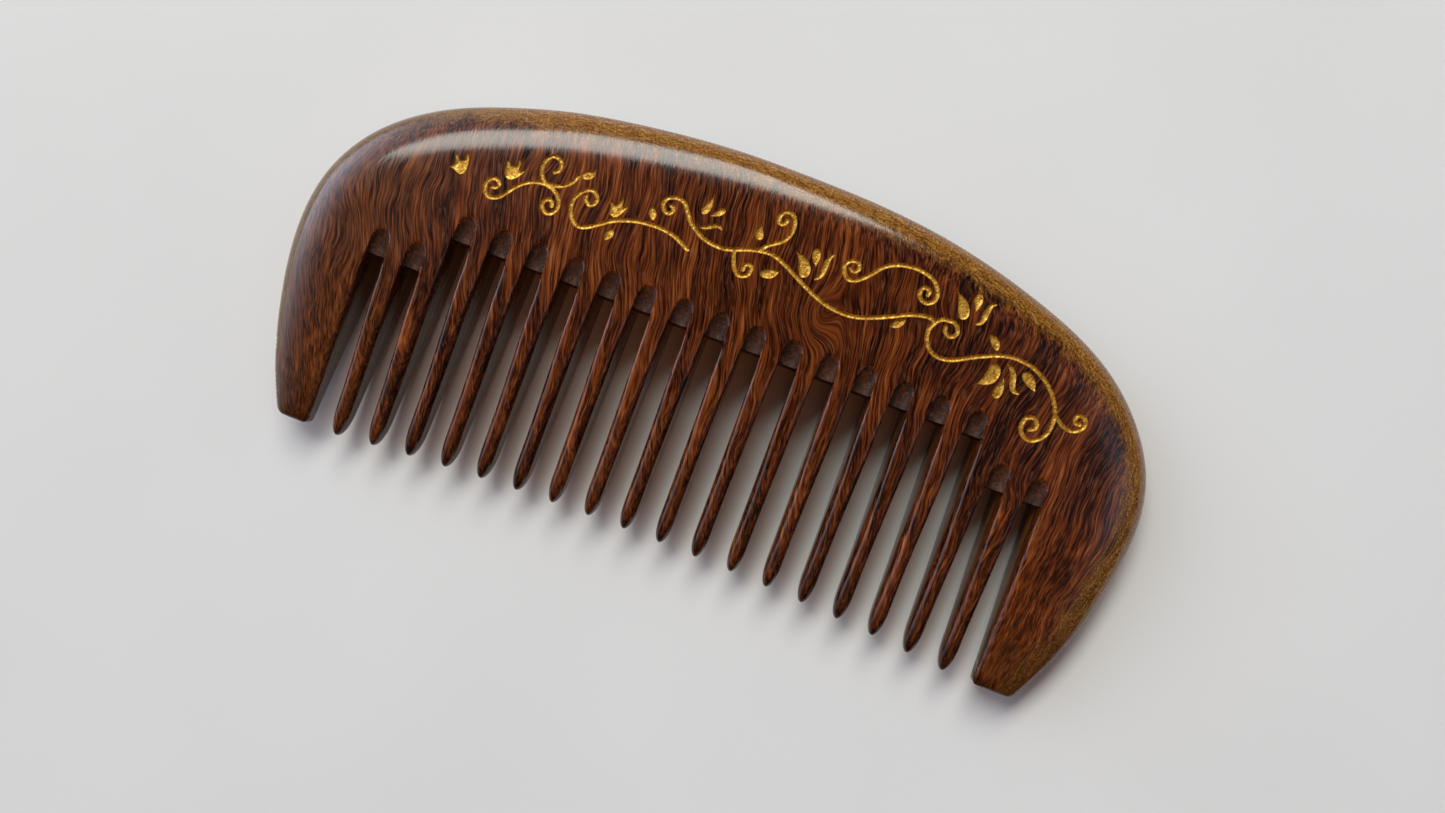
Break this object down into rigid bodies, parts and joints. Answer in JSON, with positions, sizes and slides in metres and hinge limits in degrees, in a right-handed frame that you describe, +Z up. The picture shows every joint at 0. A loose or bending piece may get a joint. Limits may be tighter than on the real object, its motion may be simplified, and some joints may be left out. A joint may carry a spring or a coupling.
{
  "type": "wide tooth comb",
  "caption": "Flat wooden comb with an arched, bullnosed back, broad end guards, spaced blunt teeth with scalloped roots, and an engraved vine scroll filled with gold.",
  "frame": {"origin": "centre of the bounding box on the face that the comb rests on", "axes": "+X along the comb, from the left guard to the right one; -Y the way the teeth point; +Z up, out of the face that carries the ornament"},
  "size_m": [0.1202, 0.0558, 0.008],
  "materials": {
    "wood": "dark reddish-brown hardwood with a satin wax polish",
    "gold": "mottled metallic gold, slightly rough"
  },
  "bodies": {
    "root": {"spine": "wood", "end_guard_left": "wood", "end_guard_right": "wood", "tooth_01": "wood", "tooth_02": "wood", "tooth_03": "wood", "tooth_04": "wood", "tooth_05": "wood", "tooth_06": "wood", "tooth_07": "wood", "tooth_08": "wood", "tooth_09": "wood", "tooth_10": "wood", "tooth_11": "wood", "tooth_12": "wood", "tooth_13": "wood", "tooth_14": "wood", "tooth_15": "wood", "tooth_16": "wood", "tooth_17": "wood", "tooth_18": "wood", "vine_left": "gold", "vine_arch": "gold", "vine_main": "gold", "vine_top": "gold", "bud_left": "gold", "bud_middle": "gold", "bud_right": "gold", "leaf_01": "gold", "leaf_02": "gold", "leaf_03": "gold", "leaf_04": "gold", "leaf_05": "gold", "leaf_06": "gold", "leaf_07": "gold", "leaf_08": "gold", "leaf_09": "gold", "leaf_10": "gold", "leaf_11": "gold", "leaf_12": "gold", "leaf_13": "gold", "leaf_14": "gold", "leaf_15": "gold", "leaf_16": "gold", "leaf_17": "gold", "leaf_18": "gold", "leaf_19": "gold", "leaf_20": "gold"}
  },
  "joints": []
}
